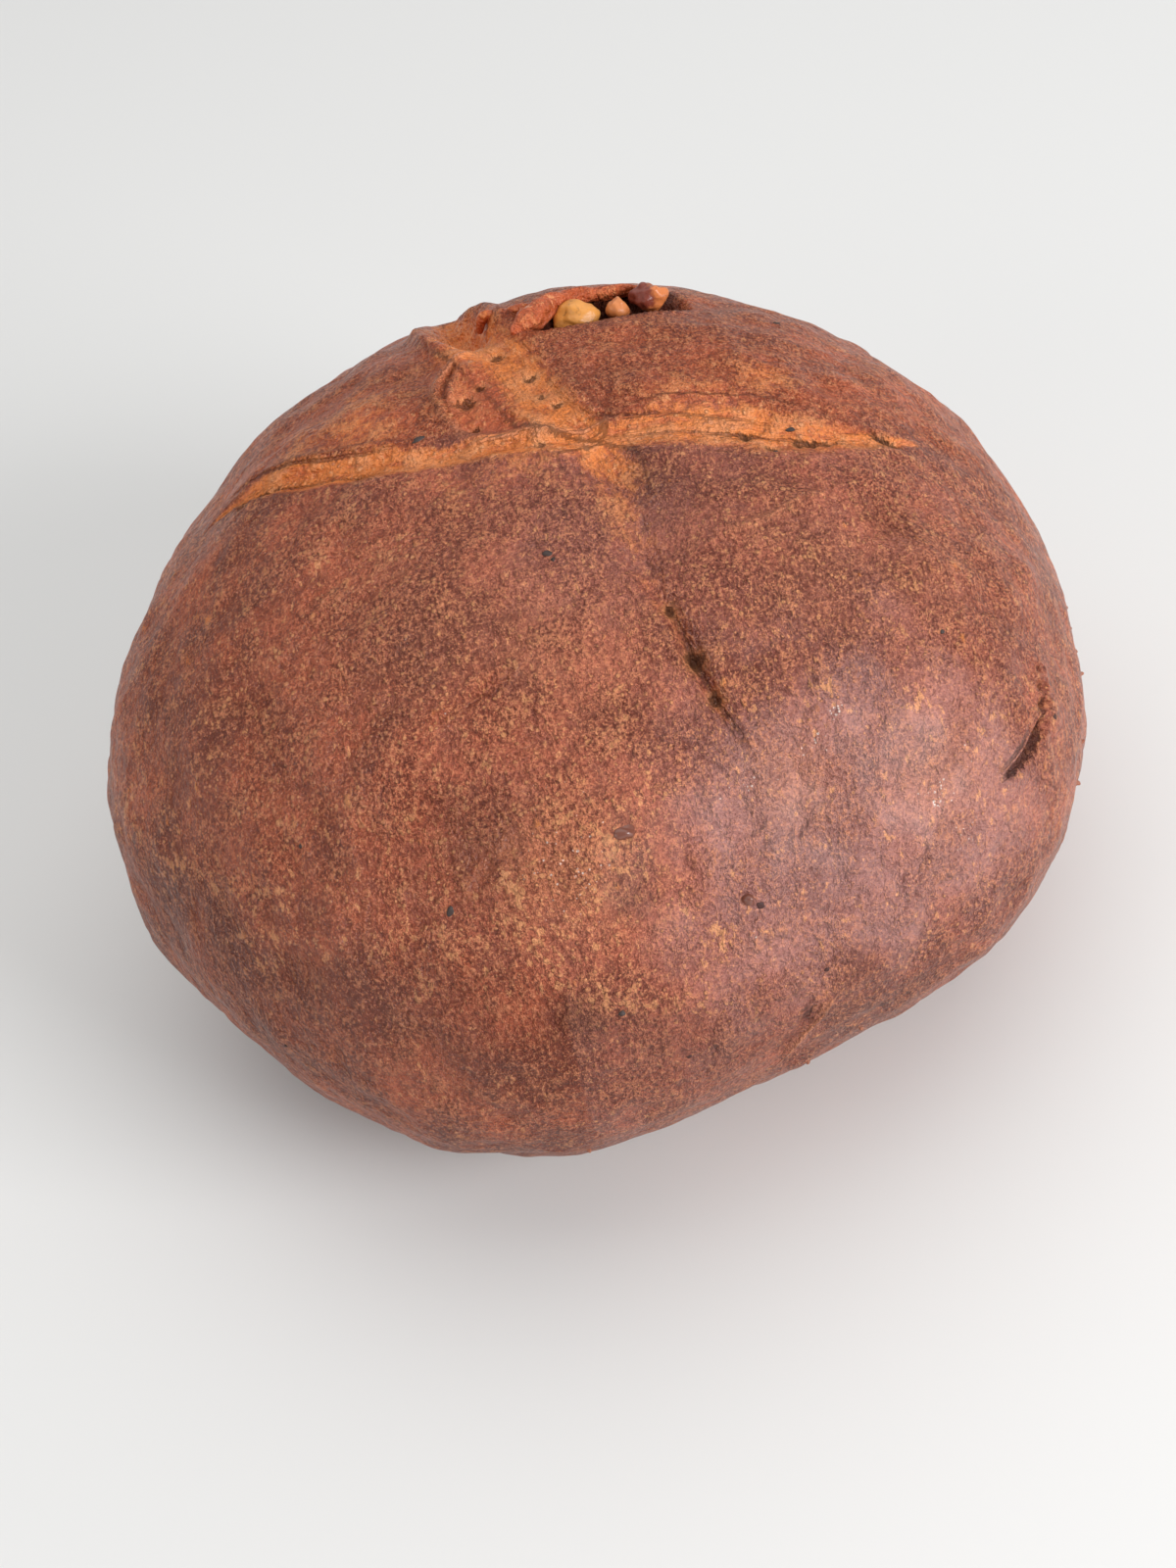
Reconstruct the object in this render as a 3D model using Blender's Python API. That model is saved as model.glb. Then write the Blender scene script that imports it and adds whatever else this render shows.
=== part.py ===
"""A round hearth loaf with a cross cut in its crown, and nuts that show in a tear at the back of the cut.

Metres, +Z up. The loaf stands on its flat underside at z = 0, and the middle of its box is at the origin.
"""

import math

import bmesh
import bpy
import numpy as np
from mathutils import Vector

# Dough, as a dome over a wavy round plan
HEIGHT = 0.106
PLAN_RADIUS = 0.087
PLAN_LOBES = (  # (waves round the edge, share of the radius, direction of a crest in degrees)
    (2, 0.024, 26),
    (3, 0.014, -27),
    (4, 0.015, -26),
    (5, 0.013, 34),
    (6, 0.012, 11),
)
WIDEST_AT = 0.42 * HEIGHT  # height of the widest section
TUCK = 0.56 * HEIGHT  # how far the full lower half would reach below the widest section
SHOULDER = 0.85  # under 1, the upper half is fuller than a ball
CROWN_BACK = 0.006  # the crown leans back from the middle of the plan
CENTRE = (0.0010, -0.0003)
CROWN_SPREAD = 0.72  # under 1, the mesh is finer over the crown
MESH_CUTS = 24

SWELLS = (  # (x, y, z, radius, height) of the broad rises and dents of the dough
    (-0.008, -0.069, 0.080, 0.020, 0.0022),
    (-0.024, -0.064, 0.083, 0.011, -0.0012),
    (-0.027, -0.031, 0.099, 0.014, 0.0010),
    (0.055, -0.025, 0.091, 0.012, -0.0010),
    (0.024, 0.049, 0.098, 0.009, 0.0016),
    (0.010, 0.046, 0.101, 0.007, 0.0012),
)

CROSS_ARMS = {  # (x, y, half width) along the crown, from the middle of the cross out to each tip
    "left_arm": (
        (0.011, -0.001, 0.0030),
        (-0.022, 0.004, 0.0042),
        (-0.044, 0.014, 0.0034),
        (-0.053, 0.017, 0.0010),
    ),
    "right_arm": (
        (0.009, -0.001, 0.0030),
        (0.035, -0.005, 0.0032),
        (0.060, -0.004, 0.0010),
    ),
    "front_arm": (
        (0.011, 0.001, 0.0036),
        (0.013, -0.022, 0.0038),
        (0.015, -0.038, 0.0024),
        (0.021, -0.056, 0.0008),
    ),
    "back_arm": (
        (0.012, -0.003, 0.0030),
        (0.004, 0.017, 0.0048),
        (-0.003, 0.044, 0.0046),
        (-0.005, 0.058, 0.0010),
    ),
}
ARM_DEPTH = 0.0014

# Fissure low on the right side, as (x, y, z, radius)
FISSURE = (
    (0.0735, -0.040, 0.068, 0.0005),
    (0.0718, -0.048, 0.0635, 0.0013),
    (0.0675, -0.0538, 0.0625, 0.0015),
    (0.0620, -0.0578, 0.0635, 0.0006),
)

# Tear and the nuts in it: (centre, half sizes, turn about Z in degrees)
TEAR = ((0.0195, 0.0402, 0.1012), (0.0140, 0.0060, 0.0042), 6)
NUTS = {
    "nut_large": ((0.0146, 0.0400, 0.1000), (0.0047, 0.0039, 0.0034), 12),
    "nut_small": ((0.0220, 0.0400, 0.0996), (0.0023, 0.0024, 0.0025), 0),
    "nut_toasted": ((0.0284, 0.0425, 0.0988), (0.0042, 0.0033, 0.0033), 8),
}
SEAT_GAP = 0.0003  # between a nut and the dough it lies in

CRUST = (0.30, 0.10, 0.045, 1.0)
NUT_COLOURS = {
    "nut_large": (0.55, 0.30, 0.08, 1.0),
    "nut_small": (0.50, 0.20, 0.06, 1.0),
    "nut_toasted": (0.10, 0.035, 0.030, 1.0),
}


def clear_scene():
    for obj in list(bpy.data.objects):
        bpy.data.objects.remove(obj)


def collection(name, hidden=False):
    made = bpy.data.collections.new(name)
    made.hide_render = hidden
    bpy.context.scene.collection.children.link(made)
    return made


def material(name, colour, roughness):
    made = bpy.data.materials.new(name)
    made.use_nodes = True
    surface = made.node_tree.nodes["Principled BSDF"]
    surface.inputs["Base Color"].default_value = colour
    surface.inputs["Roughness"].default_value = roughness
    return made


def add_object(name, bm, into, look=None):
    mesh = bpy.data.meshes.new(name)
    bm.to_mesh(mesh)
    bm.free()
    mesh.shade_smooth()
    obj = bpy.data.objects.new(name, mesh)
    into.objects.link(obj)
    if look:
        mesh.materials.append(look)
    else:
        obj.hide_render = True
        obj.display_type = "WIRE"
    return obj


def dome(points):
    """Unit directions moved onto the dough: a wavy plan, a full upper half and a tucked lower half."""
    x, y, z = points.T
    turn = np.arctan2(y, x)
    level = np.sqrt(np.clip(1 - z * z, 0, 1))
    edge = PLAN_RADIUS * (1 + sum(a * np.cos(k * (turn - math.radians(t))) for k, a, t in PLAN_LOBES))
    upper = z > 0
    out = edge * np.where(upper, level**SHOULDER, level)
    height = np.where(upper, (HEIGHT - WIDEST_AT) * np.abs(z) ** 1.05, -TUCK * np.abs(z))
    lean = CROWN_BACK * np.where(upper, np.abs(z) ** 1.5, 0)
    made = np.stack([out * np.cos(turn), out * np.sin(turn) + lean, WIDEST_AT + height], axis=1)
    return made + np.array([*CENTRE, 0.0])


def swollen(points):
    """The dough with its broad rises and dents, each a bell-shaped push away from the middle."""
    away = points - np.array([0.0, 0.0, 0.03])
    away /= np.linalg.norm(away, axis=1, keepdims=True)
    push = np.zeros(len(points))
    for x, y, z, radius, height in SWELLS:
        gap = np.linalg.norm(points - np.array([x, y, z]), axis=1)
        push += height * np.exp(-((gap / radius) ** 2))
    return points + away * push[:, None]


def crown_height(x, y):
    """Height of the smooth dome over a plan point, found by halving along the slope from edge to crown."""
    low, high = 0.0, 1.0
    px, py = x - CENTRE[0], y - CENTRE[1]
    for _ in range(30):
        rise = (low + high) / 2
        lean = CROWN_BACK * rise**1.5
        turn = math.atan2(py - lean, px)
        across = math.sqrt(1 - rise * rise)
        at = dome(np.array([[across * math.cos(turn), across * math.sin(turn), rise]]))[0]
        reach = math.hypot(at[0] - CENTRE[0], at[1] - CENTRE[1] - lean)
        low, high = (rise, high) if reach > math.hypot(px, py - lean) else (low, rise)
    return float(at[2])


def build_dough():
    bm = bmesh.new()
    bmesh.ops.create_cube(bm, size=2.0)
    bmesh.ops.subdivide_edges(bm, edges=bm.edges[:], cuts=MESH_CUTS - 1, use_grid_fill=True)
    points = np.array([v.co[:] for v in bm.verts])
    points = np.tan(points * math.pi / 4)
    points /= np.linalg.norm(points, axis=1, keepdims=True)
    low_down = np.clip(1 - points[:, 2:], 0, 1) ** 2
    points[:, :2] *= CROWN_SPREAD + (1 - CROWN_SPREAD) * low_down
    points /= np.linalg.norm(points, axis=1, keepdims=True)
    for vert, place in zip(bm.verts, swollen(dome(points))):
        vert.co = place
    geometry = bm.verts[:] + bm.edges[:] + bm.faces[:]
    bmesh.ops.bisect_plane(bm, geom=geometry, plane_co=(0, 0, 0), plane_no=(0, 0, 1), clear_inner=True)
    rim = [edge for edge in bm.edges if edge.is_boundary]
    bmesh.ops.holes_fill(bm, edges=rim)
    bmesh.ops.recalc_face_normals(bm, faces=bm.faces[:])
    return bm


def add_lump(name, place, into, look=None, grow=0.0):
    """A rounded lump from (centre, half sizes, turn about Z in degrees), made larger all round by grow."""
    centre, half_sizes, degrees = place
    bm = bmesh.new()
    bmesh.ops.create_icosphere(bm, subdivisions=3, radius=1.0)
    bmesh.ops.scale(bm, vec=Vector([half + grow for half in half_sizes]), verts=bm.verts[:])
    obj = add_object(name, bm, into, look)
    obj.location = centre
    obj.rotation_euler.z = math.radians(degrees)
    return obj


def tube(name, path, into):
    """A closed round tube through (x, y, z, radius) points."""
    curve = bpy.data.curves.new(name, "CURVE")
    curve.dimensions = "3D"
    curve.bevel_depth = 1.0
    curve.bevel_resolution = 3
    curve.resolution_u = 5
    curve.use_fill_caps = True
    line = curve.splines.new("NURBS")
    line.points.add(len(path) - 1)
    for point, (x, y, z, radius) in zip(line.points, path):
        point.co = (x, y, z, 1.0)
        point.radius = radius
    line.order_u = 3
    line.use_endpoint_u = True
    guide = bpy.data.objects.new(name + "_guide", curve)
    into.objects.link(guide)
    graph = bpy.context.evaluated_depsgraph_get()
    bm = bmesh.new()
    bm.from_mesh(bpy.data.meshes.new_from_object(guide.evaluated_get(graph)))
    bpy.data.objects.remove(guide)
    bmesh.ops.remove_doubles(bm, verts=bm.verts[:], dist=1e-6)
    bmesh.ops.recalc_face_normals(bm, faces=bm.faces[:])
    return add_object(name, bm, into)


def arm_cutter(name, arm, into):
    """A tube that follows the crown and dips ARM_DEPTH into it at its widest, and less towards its tip."""
    widest = max(half for _, _, half in arm)
    path = []
    for x, y, half in arm:
        depth = ARM_DEPTH * half / widest
        radius = (half**2 + depth**2) / (2 * depth)
        path.append((x, y, crown_height(x, y) + radius - depth, radius))
    return tube(name, path, into)


def cut(obj, cutter):
    modifier = obj.modifiers.new("cut_" + cutter.name, "BOOLEAN")
    modifier.operation = "DIFFERENCE"
    modifier.solver = "EXACT"
    modifier.object = cutter


def main():
    clear_scene()
    parts = collection("bread_loaf")
    cutters = collection("cutters", hidden=True)

    loaf = add_object("loaf", build_dough(), parts, material("crust", CRUST, 0.5))
    for name, arm in CROSS_ARMS.items():
        cut(loaf, arm_cutter(name, arm, cutters))
    cut(loaf, tube("fissure", FISSURE, cutters))
    cut(loaf, add_lump("tear", TEAR, cutters))
    for name, place in NUTS.items():
        cut(loaf, add_lump(name + "_seat", place, cutters, grow=SEAT_GAP))
        add_lump(name, place, parts, material(name, NUT_COLOURS[name], 0.45))


main()
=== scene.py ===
# %% [markdown]
# # A round hearth loaf
# This lesson builds a loaf of enriched, red-brown bread. It rose into a dome, was scored with a cross,
# and tore open at the back of the cut, where a few nuts show. First the measured solids are loaded.
# They fix the size and the place of everything, so each surface made later has to lie on them.

# %% Load the measured solids
import math

import bpy
import numpy as np
from mathutils import Matrix, Vector


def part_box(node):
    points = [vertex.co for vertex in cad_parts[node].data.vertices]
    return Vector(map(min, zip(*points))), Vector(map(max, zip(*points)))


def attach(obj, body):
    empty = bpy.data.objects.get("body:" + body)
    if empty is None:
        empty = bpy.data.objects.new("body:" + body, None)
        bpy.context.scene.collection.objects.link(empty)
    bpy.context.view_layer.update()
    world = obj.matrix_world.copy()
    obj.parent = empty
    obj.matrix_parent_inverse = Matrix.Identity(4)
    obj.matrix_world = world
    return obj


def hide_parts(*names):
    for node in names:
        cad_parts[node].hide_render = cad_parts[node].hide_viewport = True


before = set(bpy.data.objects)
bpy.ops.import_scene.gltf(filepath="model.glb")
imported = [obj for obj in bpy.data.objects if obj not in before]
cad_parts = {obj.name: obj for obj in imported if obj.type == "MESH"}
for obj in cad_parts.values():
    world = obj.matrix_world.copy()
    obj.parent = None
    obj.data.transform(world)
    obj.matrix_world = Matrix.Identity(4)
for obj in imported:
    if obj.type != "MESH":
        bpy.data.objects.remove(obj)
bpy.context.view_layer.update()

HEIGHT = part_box("loaf")[1][2]
print("nodes:", sorted(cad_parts), "height", round(HEIGHT, 4))

# %% [markdown]
# ## Camera
# The loaf is seen from the front and above, a little tilted, as by someone who leans over a table.
# A camera looks along its own -Z, so it is turned up from straight down, then rolled about its own axis.

# %% Place the camera
CAMERA_ELEVATION = 46.5
CAMERA_ROLL = -13.7
CAMERA_PLACE = (-0.0032, -0.2841, 0.3233)
CAMERA_LENS = 49.5


def add_camera():
    data = bpy.data.cameras.new("camera")
    data.lens = CAMERA_LENS
    made = bpy.data.objects.new("camera", data)
    bpy.context.scene.collection.objects.link(made)
    lean = Matrix.Rotation(math.radians(90 - CAMERA_ELEVATION), 4, "X")
    roll = Matrix.Rotation(math.radians(CAMERA_ROLL), 4, "Z")
    made.matrix_world = Matrix.Translation(CAMERA_PLACE) @ lean @ roll
    bpy.context.scene.camera = made
    return made


print("camera lens", add_camera().data.lens)

# %% [markdown]
# ## Table and light
# A pale floor and broad soft lights. The strongest stands behind and above, so that soft shade falls
# to the front. A window-like panel at the right front gives the crust its long grey sheen.

# %% Lay the floor and hang the lights
FLOOR_COLOUR = (0.80, 0.80, 0.78, 1.0)
LIGHTS = (  # (name, place, width, height, watts, colour), each aimed at the loaf
    ("sky_panel", (0.10, 0.45, 1.25), 2.0, 1.7, 10.5, (1.0, 0.98, 0.95)),
    ("window_panel", (0.82, -0.72, 0.50), 0.55, 0.5, 12.0, (0.98, 0.98, 1.0)),
    ("room_fill", (-0.95, -0.75, 0.50), 1.0, 0.8, 3.5, (1.0, 0.99, 0.97)),
)
LIGHT_AIM = Vector((0.0, 0.0, 0.05))


def plain_material(name, colour, roughness):
    made = bpy.data.materials.new(name)
    made.use_nodes = True
    surface = made.node_tree.nodes["Principled BSDF"]
    surface.inputs["Base Color"].default_value = colour
    surface.inputs["Roughness"].default_value = roughness
    return made


def add_floor():
    side = 3.0
    mesh = bpy.data.meshes.new("floor")
    corners = [(-side, -side, 0), (side, -side, 0), (side, side, 0), (-side, side, 0)]
    mesh.from_pydata(corners, [], [(0, 1, 2, 3)])
    mesh.materials.append(plain_material("floor", FLOOR_COLOUR, 0.55))
    made = bpy.data.objects.new("floor", mesh)
    bpy.context.scene.collection.objects.link(made)


def add_light(name, place, width, height, watts, colour):
    data = bpy.data.lights.new(name, "AREA")
    data.shape = "RECTANGLE"
    data.size, data.size_y = width, height
    data.energy = watts
    data.color = colour
    made = bpy.data.objects.new(name, data)
    bpy.context.scene.collection.objects.link(made)
    made.location = place
    made.rotation_euler = (LIGHT_AIM - Vector(place)).to_track_quat("-Z", "Y").to_euler()


add_floor()
for light in LIGHTS:
    add_light(*light)
world = bpy.data.worlds.new("studio")
world.use_nodes = True
world.node_tree.nodes["Background"].inputs["Color"].default_value = (0.93, 0.95, 1.0, 1.0)
world.node_tree.nodes["Background"].inputs["Strength"].default_value = 0.40
bpy.context.scene.world = world
bpy.context.scene.view_settings.view_transform = "Standard"
print("lights:", [light[0] for light in LIGHTS])

# %% [markdown]
# ## The dough's dome
# A loaf that rises without a tin is a ball that has sagged: round but wavy in plan, full above its
# widest level and tucked in below it. So each point of a ball is moved by a formula. The grid is a
# square sheet drawn over the ball from the crown down, because it has no pinched pole at the crown.
# The radius, the waves' sizes and directions and the centre are not chosen by hand: they came out of a
# separate least-squares fit of the loaf's outline.

# %% Lay a square grid over the ball
PLAN_RADIUS = 0.087
PLAN_LOBES = (  # (waves round the edge, share of the radius, direction of a crest in degrees)
    (2, 0.024, 26), (3, 0.014, -27), (4, 0.015, -26), (5, 0.013, 34), (6, 0.012, 11),
)
WIDEST_AT = 0.42 * HEIGHT
TUCK = 0.56 * HEIGHT
SHOULDER = 0.85
CROWN_BACK = 0.006
CENTRE = (0.0010, -0.0003)
RINGS = (84, 146, 154)  # from the crown to the shoulder, to the foot, and to the middle of the underside
SHOULDER_REACH = 0.74  # share of the radius where the fine crown rings end


def sheet_on_ball():
    """Direction and rise of each point of a square sheet whose square rings lie on level circles.

    The rings are evenly spaced in plan over the crown, evenly spaced in angle down the side, and
    evenly spaced in plan again on the underside.
    """
    crown, foot, last = RINGS
    steps = np.arange(-last, last + 1)
    u, v = np.meshgrid(steps, steps, indexing="xy")
    ring = np.maximum(abs(u), abs(v))
    beside = abs(u) >= abs(v)
    with np.errstate(divide="ignore", invalid="ignore"):
        turn = np.where(beside, v / u, 2 - u / v) * math.pi / 4
    turn = turn + np.where(np.where(beside, u, v) < 0, math.pi, 0)
    turn[last, last] = 0
    foot_angle = -math.asin(WIDEST_AT / TUCK)
    crown_angle = math.acos(SHOULDER_REACH ** (1 / SHOULDER))
    over_crown = np.arccos(np.clip(SHOULDER_REACH * ring / crown, 0, 1) ** (1 / SHOULDER))
    down_side = crown_angle + (foot_angle - crown_angle) * (ring - crown) / (foot - crown)
    under = 1 - 0.55 * (ring - foot) / (last - foot)
    underside = -np.arccos(np.clip(math.cos(foot_angle) * under, 0, 1))
    angle = np.where(ring <= crown, over_crown, np.where(ring <= foot, down_side, underside))
    return turn, np.sin(angle)


def dome(turn, rise):
    """The sagged ball: a wavy plan, a full upper half that leans back, and a flat foot."""
    level = np.sqrt(np.clip(1 - rise * rise, 0, 1))
    edge = PLAN_RADIUS * (1 + sum(a * np.cos(k * (turn - math.radians(t))) for k, a, t in PLAN_LOBES))
    upper = rise > 0
    out = edge * np.where(upper, level**SHOULDER, level)
    height = np.where(upper, (HEIGHT - WIDEST_AT) * np.abs(rise) ** 1.05, -TUCK * np.abs(rise))
    lean = CROWN_BACK * np.where(upper, np.abs(rise) ** 1.5, 0)
    x = out * np.cos(turn) + CENTRE[0]
    y = out * np.sin(turn) + lean + CENTRE[1]
    return np.stack([x, y, WIDEST_AT + height], axis=-1)


def facing(grid):
    """Unit normals of a grid of points, from the cross product of its two slopes."""
    down, across = np.gradient(grid, axis=0), np.gradient(grid, axis=1)
    normal = np.cross(across, down)
    return normal / np.maximum(np.linalg.norm(normal, axis=-1, keepdims=True), 1e-12)


turn, rise = sheet_on_ball()
smooth_dome = dome(turn, rise)
dome_facing = facing(smooth_dome)
print("grid", smooth_dome.shape, "top", smooth_dome[..., 2].max().round(4))

# %% [markdown]
# ## Rises, dents and pits
# Dough is soft, so its skin has broad rises and dents, and small pits where bubbles broke. Each one is a
# bell curve of the distance to a point of the skin, pushed along the surface's own direction.

# %% Swells and pits of the skin
MM = 0.001
SWELLS = (  # (x, y, z, radius, height) in millimetres
    (-8, -68, 81, 15, 2.8), (-24, -64, 83, 10, -1.9), (10, -72, 74, 8, -1.1), (-30, -50, 92, 12, 0.8),
    (-27, -31, 99, 9, 1.2), (-5.4, -44.5, 96.7, 5, 1.6), (-14, -51, 92.5, 7, -1.2), (17, -14, 104, 6, -0.8),
    (37, -30, 97, 12, 0.9), (54, -24, 91.5, 6, -1.3), (58, -28, 88, 5, 1.0), (52, -55, 77, 10, 0.9),
    (1.0, 43, 102.0, 3.2, 1.2), (-10, 45, 100, 4, 0.8), (24, 51, 97, 9, 1.0),
)
PITS = (  # (x, y, z, radius, depth) in millimetres
    (-1.2, 30.7, 104.1, 1.3, 1.2), (-5.1, 20.0, 105.3, 1.0, 1.1), (-8.0, 16.5, 105.5, 1.7, 1.2),
    (-7.6, 8.2, 105.8, 0.9, 1.0), (-11.0, 41.5, 101.2, 1.1, 1.2), (3.6, 20.0, 105.5, 1.1, 1.0),
    (4.6, 13.5, 105.8, 0.8, 0.8), (6.6, 9.5, 105.9, 0.9, 0.8), (2.3, -0.9, 105.9, 0.9, 1.0),
    (35.6, -5.5, 101.9, 0.9, 0.9), (44.2, -6.9, 99.0, 1.0, 1.1), (46.4, -6.8, 98.2, 0.9, 1.1),
    (49.0, -6.6, 97.2, 0.7, 0.8), (39.3, -8.3, 100.6, 1.1, 1.1), (58.4, -3.2, 92.4, 0.9, 1.2),
    (59.8, -4.6, 91.5, 0.9, 1.2), (-29.0, 6.9, 103.4, 0.9, 0.9), (-44.0, 15.5, 98.3, 1.0, 1.0),
    (-46.6, 15.0, 97.2, 0.9, 0.9), (-49.5, 15.3, 95.8, 1.2, 1.0), (15.6, -37.5, 97.6, 1.0, 1.0),
    (17.4, -45.4, 93.4, 1.5, 1.5), (19.0, -51.0, 89.6, 1.2, 1.3),
)


def bells(points, spots):
    """Sum over the spots of height times exp(-(distance / radius) squared)."""
    total = np.zeros(points.shape[:-1])
    for x, y, z, radius, height in spots:
        gap = np.linalg.norm(points - np.array([x, y, z]) * MM, axis=-1)
        total += height * MM * np.exp(-((gap / (radius * MM)) ** 2))
    return total


def nearness(points, spots):
    """Distance to the nearest spot in its own radii, at most 3."""
    least = np.full(points.shape[:-1], 3.0)
    for x, y, z, radius, _ in spots:
        least = np.minimum(least, np.linalg.norm(points - np.array([x, y, z]) * MM, axis=-1) / (radius * MM))
    return least


def ripples(points, wavelength, seed, waves=28):
    """A smooth random field near -1 to 1: many plane waves of one length, in random directions."""
    random = np.random.default_rng(seed)
    directions = random.normal(size=(waves, 3))
    directions /= np.linalg.norm(directions, axis=1, keepdims=True)
    total = np.zeros(points.shape[:-1])
    for direction, phase in zip(directions, random.uniform(0, 2 * math.pi, waves)):
        total += np.sin(points @ direction * (2 * math.pi / wavelength) + phase)
    return total / math.sqrt(waves / 2) / 1.6


def ease(low, high, value):
    """0 below low, 1 above high, and a smooth S between."""
    share = np.clip((value - low) / (high - low), 0, 1)
    return share * share * (3 - 2 * share)


print("swells", len(SWELLS), "pits", len(PITS))

# %% [markdown]
# ## The cross
# The baker's cuts opened as the loaf rose, and dried into shallow troughs with raised lips. An arm is a
# path over the skin. Each point of the dome gets its distance beside the path, and a trough is a
# function of that distance. The distances are kept too, so that fibres can follow the cut later.
# Many places in this file's tables were worked out on the dome by a separate program; others were moved
# or placed by hand.

# %% Arms of the cross, and the fissure, as paths
ARMS = {  # name: knots (x, y, z, half width, depth) in millimetres, from the middle of the cross outwards
    "left": (
        (11, -2.6, 105.7, 2.4, 0.7), (3, -0.2, 105.9, 2.2, 0.8), (-7, 2.4, 105.8, 2.2, 0.9),
        (-14, 3.6, 105.5, 2.4, 1.0), (-20, 4.8, 104.9, 2.8, 1.2), (-27, 7.6, 103.8, 3.0, 1.4),
        (-36, 12.0, 101.4, 2.8, 1.3), (-44, 16.2, 98.0, 2.4, 1.1), (-50, 18.4, 94.8, 1.4, 0.7),
        (-56, 18.7, 91.5, 0.5, 0.2),
    ),
    "right": (
        (12, -2.4, 105.5, 2.4, 0.7), (22, -2.2, 104.6, 4.4, 0.8), (32, -3.8, 102.8, 4.6, 0.9),
        (41, -5.2, 100.0, 4.4, 1.0), (50, -5.8, 96.9, 3.2, 0.9), (57, -4.4, 93.3, 1.8, 0.6),
        (64, -3.0, 88.5, 0.6, 0.2),
    ),
    "front": (
        (11, -2.0, 105.5, 3.6, 0.7), (12.6, -9, 105.0, 4.0, 0.9), (13.3, -18, 103.8, 3.6, 0.9),
        (13.2, -27, 101.5, 2.7, 0.8), (14.3, -35, 99.0, 1.6, 0.9), (16.0, -39, 96.8, 1.4, 1.2),
        (17.3, -45, 93.8, 1.6, 1.5), (18.6, -50, 90.3, 1.3, 1.4), (20.4, -54, 87.0, 0.8, 0.8),
        (22.2, -58, 84.2, 0.4, 0.3),
    ),
    "back": (
        (11, -2.0, 105.7, 3.2, 0.7), (7.0, 4.5, 106.0, 3.6, 0.8), (4.6, 11, 106.0, 3.6, 0.9),
        (2.6, 19, 105.6, 3.8, 1.0), (0.0, 28, 104.6, 4.2, 1.2), (-2.8, 36, 102.9, 4.0, 2.2),
        (-5.6, 43, 100.7, 4.2, 5.2), (-6.6, 48, 98.9, 4.4, 6.6), (-7.8, 55, 95.6, 4.0, 4.6),
        (-9.0, 62, 91.0, 2.0, 1.2),
    ),
}
FISSURE = (
    (74.6, -35.0, 70.5, 0.3, 0.2), (73.3, -41.0, 66.4, 0.6, 0.7), (72.1, -45.9, 63.5, 0.8, 1.2),
    (70.3, -49.7, 62.2, 0.9, 1.6), (67.1, -53.4, 62.2, 1.1, 2.0), (64.5, -56.0, 62.6, 1.0, 1.7),
    (61.5, -58.0, 63.4, 0.4, 0.4),
)
FOLDS = {  # name: knots (x, y, z, half width, height) in millimetres; below 0 is a crease
    "patch_edge": (
        (-5.4, 35.0, 102.8, 0.7, 0.2), (-7.8, 31.0, 103.7, 0.9, 1.0), (-11.5, 25.8, 104.4, 1.0, 1.2),
        (-12.8, 18.7, 105.0, 1.0, 1.1), (-11.3, 11.1, 105.6, 0.9, 1.0), (-7.6, 5.4, 105.8, 0.8, 0.6),
        (1.0, 2.5, 106.0, 0.6, 0.7), (8.0, 1.2, 106.0, 0.6, 0.6), (13.0, 1.0, 105.6, 0.6, 0.4),
    ),
    "patch_edge_inner": (
        (-6.8, 28.5, 104.3, 0.6, 0.2), (-9.4, 23.6, 104.8, 0.7, 0.7), (-10.4, 17.3, 105.3, 0.7, 0.7),
        (-9.2, 10.5, 105.7, 0.6, 0.3),
    ),
    "quarter_fold": (
        (48, -18, 96.0, 0.6, 0.2), (40.6, -21.4, 98.6, 0.9, 0.7), (33.5, -25.0, 99.3, 0.9, 0.8),
        (26.7, -27.0, 100.4, 0.8, 0.5), (19.5, -30.0, 100.4, 0.6, 0.2),
    ),
    "front_fold": (
        (-9, -42, 98.0, 0.8, -0.2), (-13.1, -43.5, 97.0, 1.0, -0.7), (-19, -45.6, 95.5, 1.1, -0.8),
        (-25.7, -47.5, 93.4, 0.9, -0.3),
    ),
    "low_stretch": (
        (27.4, -76.6, 45.0, 0.5, 0.2), (24.5, -77.4, 41.0, 0.7, 0.8), (21.3, -77.8, 36.7, 0.8, 0.9),
        (18.0, -77.3, 31.0, 0.7, 0.7), (15.5, -76.5, 27.0, 0.5, 0.2),
    ),
}
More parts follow.
